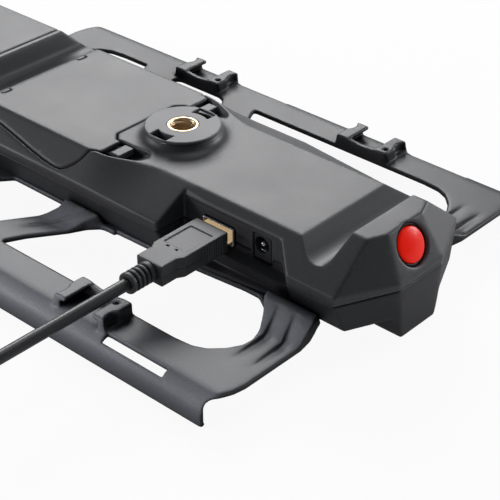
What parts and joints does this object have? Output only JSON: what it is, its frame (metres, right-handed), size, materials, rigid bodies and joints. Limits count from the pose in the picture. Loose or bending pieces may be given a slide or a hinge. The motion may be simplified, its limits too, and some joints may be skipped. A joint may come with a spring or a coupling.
{
  "type": "tablet camera-control dock",
  "caption": "Cradle frame that holds a slate tablet, with an electronics spine across its back, a camera-thread boss, a battery door and a plugged-in data cable.",
  "frame": {"origin": "centre of the threaded hole at the mounting face on the back", "axes": "+Z out of the back, +X along the spine towards the badge end, +Y across the tablet, away from the ports"},
  "size_m": [0.2653, 0.2391, 0.0415],
  "materials": {
    "shell": "fine spark-eroded grain, charcoal",
    "shell_dark": "fine spark-eroded grain, near black",
    "disc": "fine grain, mid grey",
    "frame": "fine grain with polished edges",
    "brass": "turned",
    "zinc_steel": "bright zinc plated",
    "rod_steel": "ground",
    "bronze": "sintered",
    "black_steel": "black oxide",
    "rubber": "moulded",
    "badge_red": "clear domed resin over red",
    "gloss_black": "polished",
    "board_green": "solder mask",
    "chip": "moulded epoxy",
    "nickel": "nickel plated",
    "gold_nickel": "warm nickel plate",
    "insulator": "moulded nylon",
    "cell_wrap": "printed film left plain",
    "polyimide": "film",
    "cable_grip": "soft PVC, fine grain",
    "cable_jacket": "extruded PVC, satin"
  },
  "bodies": {
    "dock": {"rear_cover": "shell", "lower_shell": "shell_dark", "mount_disc": "disc", "threaded_insert": "brass", "mount_bracket": "zinc_steel", "battery_tray": "shell_dark", "battery_cells": "cell_wrap", "contact_springs": "nickel", "contact_plates": "nickel", "guide_rods": "rod_steel", "cradle_frame": "frame", "lip_pads": "rubber", "back_pads": "rubber", "shell_screws": "black_steel", "frame_screws": "black_steel", "badge": "badge_red", "badge_bezel": "gloss_black", "main_board": "board_green", "control_chips": "chip", "usb_receptacle": "nickel", "usb_tongue": "insulator", "power_jack": "shell_dark", "power_pin": "nickel", "power_spring": "nickel", "dock_connector": "gloss_black", "dock_tip": "nickel", "connector_board": "board_green", "connector_flex": "polyimide"},
    "door": {"battery_door": "shell", "door_hinge_pins": "black_steel"},
    "latch_near": {"door_latch_near": "disc"},
    "latch_far": {"door_latch_far": "disc"},
    "end": {"sliding_end_cover": "shell", "sliding_end_base": "shell_dark", "guide_bushes": "bronze"},
    "usb_plug": {"usb_plug_shell": "gold_nickel", "usb_plug_core": "insulator", "usb_plug_grip": "cable_grip", "strain_relief": "cable_grip", "cable": "cable_jacket"}
  },
  "joints": [
    {"name": "door_hinge", "type": "hinge", "parent": "dock", "child": "door", "pos_m": [-0.0779, 0, -0.00636], "axis": [0, -1, 0], "range_deg": [0, 70]},
    {"name": "latch_near_press", "type": "slide", "parent": "door", "child": "latch_near", "axis": [-1, 0, 0], "range_m": [0, 0.0013], "stiffness_N_per_m": 300},
    {"name": "latch_far_press", "type": "slide", "parent": "door", "child": "latch_far", "axis": [-1, 0, 0], "range_m": [0, 0.0013], "stiffness_N_per_m": 300},
    {"name": "end_slide", "type": "slide", "parent": "dock", "child": "end", "axis": [-1, 0, 0], "range_m": [0, 0.014]},
    {"name": "usb_unplug", "type": "slide", "parent": "dock", "child": "usb_plug", "axis": [0, -1, 0], "range_m": [0, 0.014]}
  ]
}
